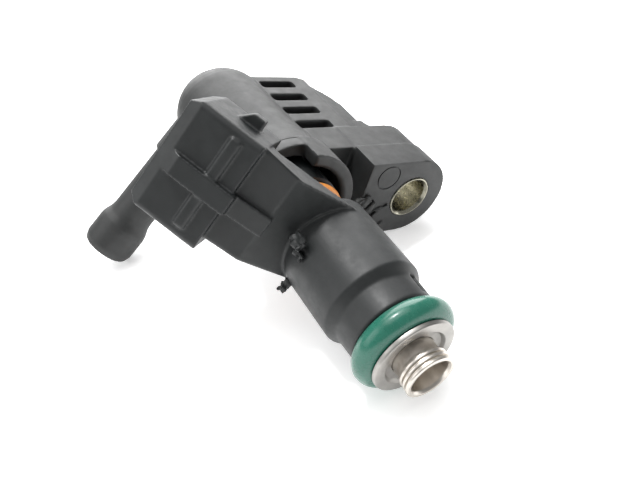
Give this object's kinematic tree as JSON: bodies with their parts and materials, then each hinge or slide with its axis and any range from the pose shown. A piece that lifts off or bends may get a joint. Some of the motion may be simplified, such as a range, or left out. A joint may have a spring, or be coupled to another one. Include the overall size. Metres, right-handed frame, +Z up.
{
  "type": "fuel injector",
  "caption": "Solenoid fuel injector plugged into a moulded feed cap with a hose barb and a bolt boss; seal rings, angled electrical socket, bright nozzle.",
  "frame": {"origin": "centre of the bounding box's base, on the surface the part lies on", "axes": "+Z up from the surface; +X along the injector's axis as seen from above, nozzle to cap; +Y to the barb's side"},
  "size_m": [0.0688, 0.0562, 0.0364],
  "materials": {
    "cap_plastic": "fine satin mould texture",
    "body_plastic": "fine satin mould texture",
    "green_rubber": "smooth, slightly oily",
    "orange_rubber": "smooth",
    "dark_rubber": "smooth",
    "bright_steel": "turned and polished, faint heat tint",
    "magnet_steel": "plain ground",
    "zinc_steel": "yellow passivated zinc",
    "tin_plate": "tinned",
    "copper_wire": "enamelled wire",
    "bobbin_plastic": "natural moulding",
    "brass_basket": "plain"
  },
  "bodies": {
    "cap": {"feed_cap": "cap_plastic", "boss_bush": "zinc_steel"},
    "seal": {"upper_seal_ring": "dark_rubber"},
    "injector": {"overmould": "body_plastic", "terminal_left": "tin_plate", "terminal_right": "tin_plate", "dust_ring": "orange_rubber", "spacer_ring": "body_plastic", "inlet_tube": "bright_steel", "inlet_filter": "brass_basket", "adjusting_sleeve": "bright_steel", "coil_bobbin": "bobbin_plastic", "coil_winding": "copper_wire", "magnet_housing": "magnet_steel", "flux_washer": "magnet_steel", "spacer_sleeve": "bright_steel", "nozzle_body": "bright_steel", "valve_seat": "bright_steel", "orifice_plate": "bright_steel", "seal_washer": "bright_steel", "lower_seal_ring": "green_rubber", "return_spring": "bright_steel"},
    "valve": {"armature": "magnet_steel", "needle_tube": "bright_steel", "valve_ball": "bright_steel"}
  },
  "joints": [
    {"name": "injector_pull_out", "type": "slide", "parent": "cap", "child": "seal", "axis": [-0.962, 0, -0.273], "range_m": [0, 0.01]},
    {"name": "injector_swivel", "type": "hinge", "parent": "seal", "child": "injector", "pos_m": [0.00497, -0.00093, 0.01636], "axis": [0.962, 0, 0.273], "range_deg": [-20, 20]},
    {"name": "valve_lift", "type": "slide", "parent": "injector", "child": "valve", "axis": [0.962, 0, 0.273], "range_m": [0, 0.0001], "stiffness_N_per_m": 800, "springref_m": -0.001, "deforming": ["return_spring"]}
  ]
}
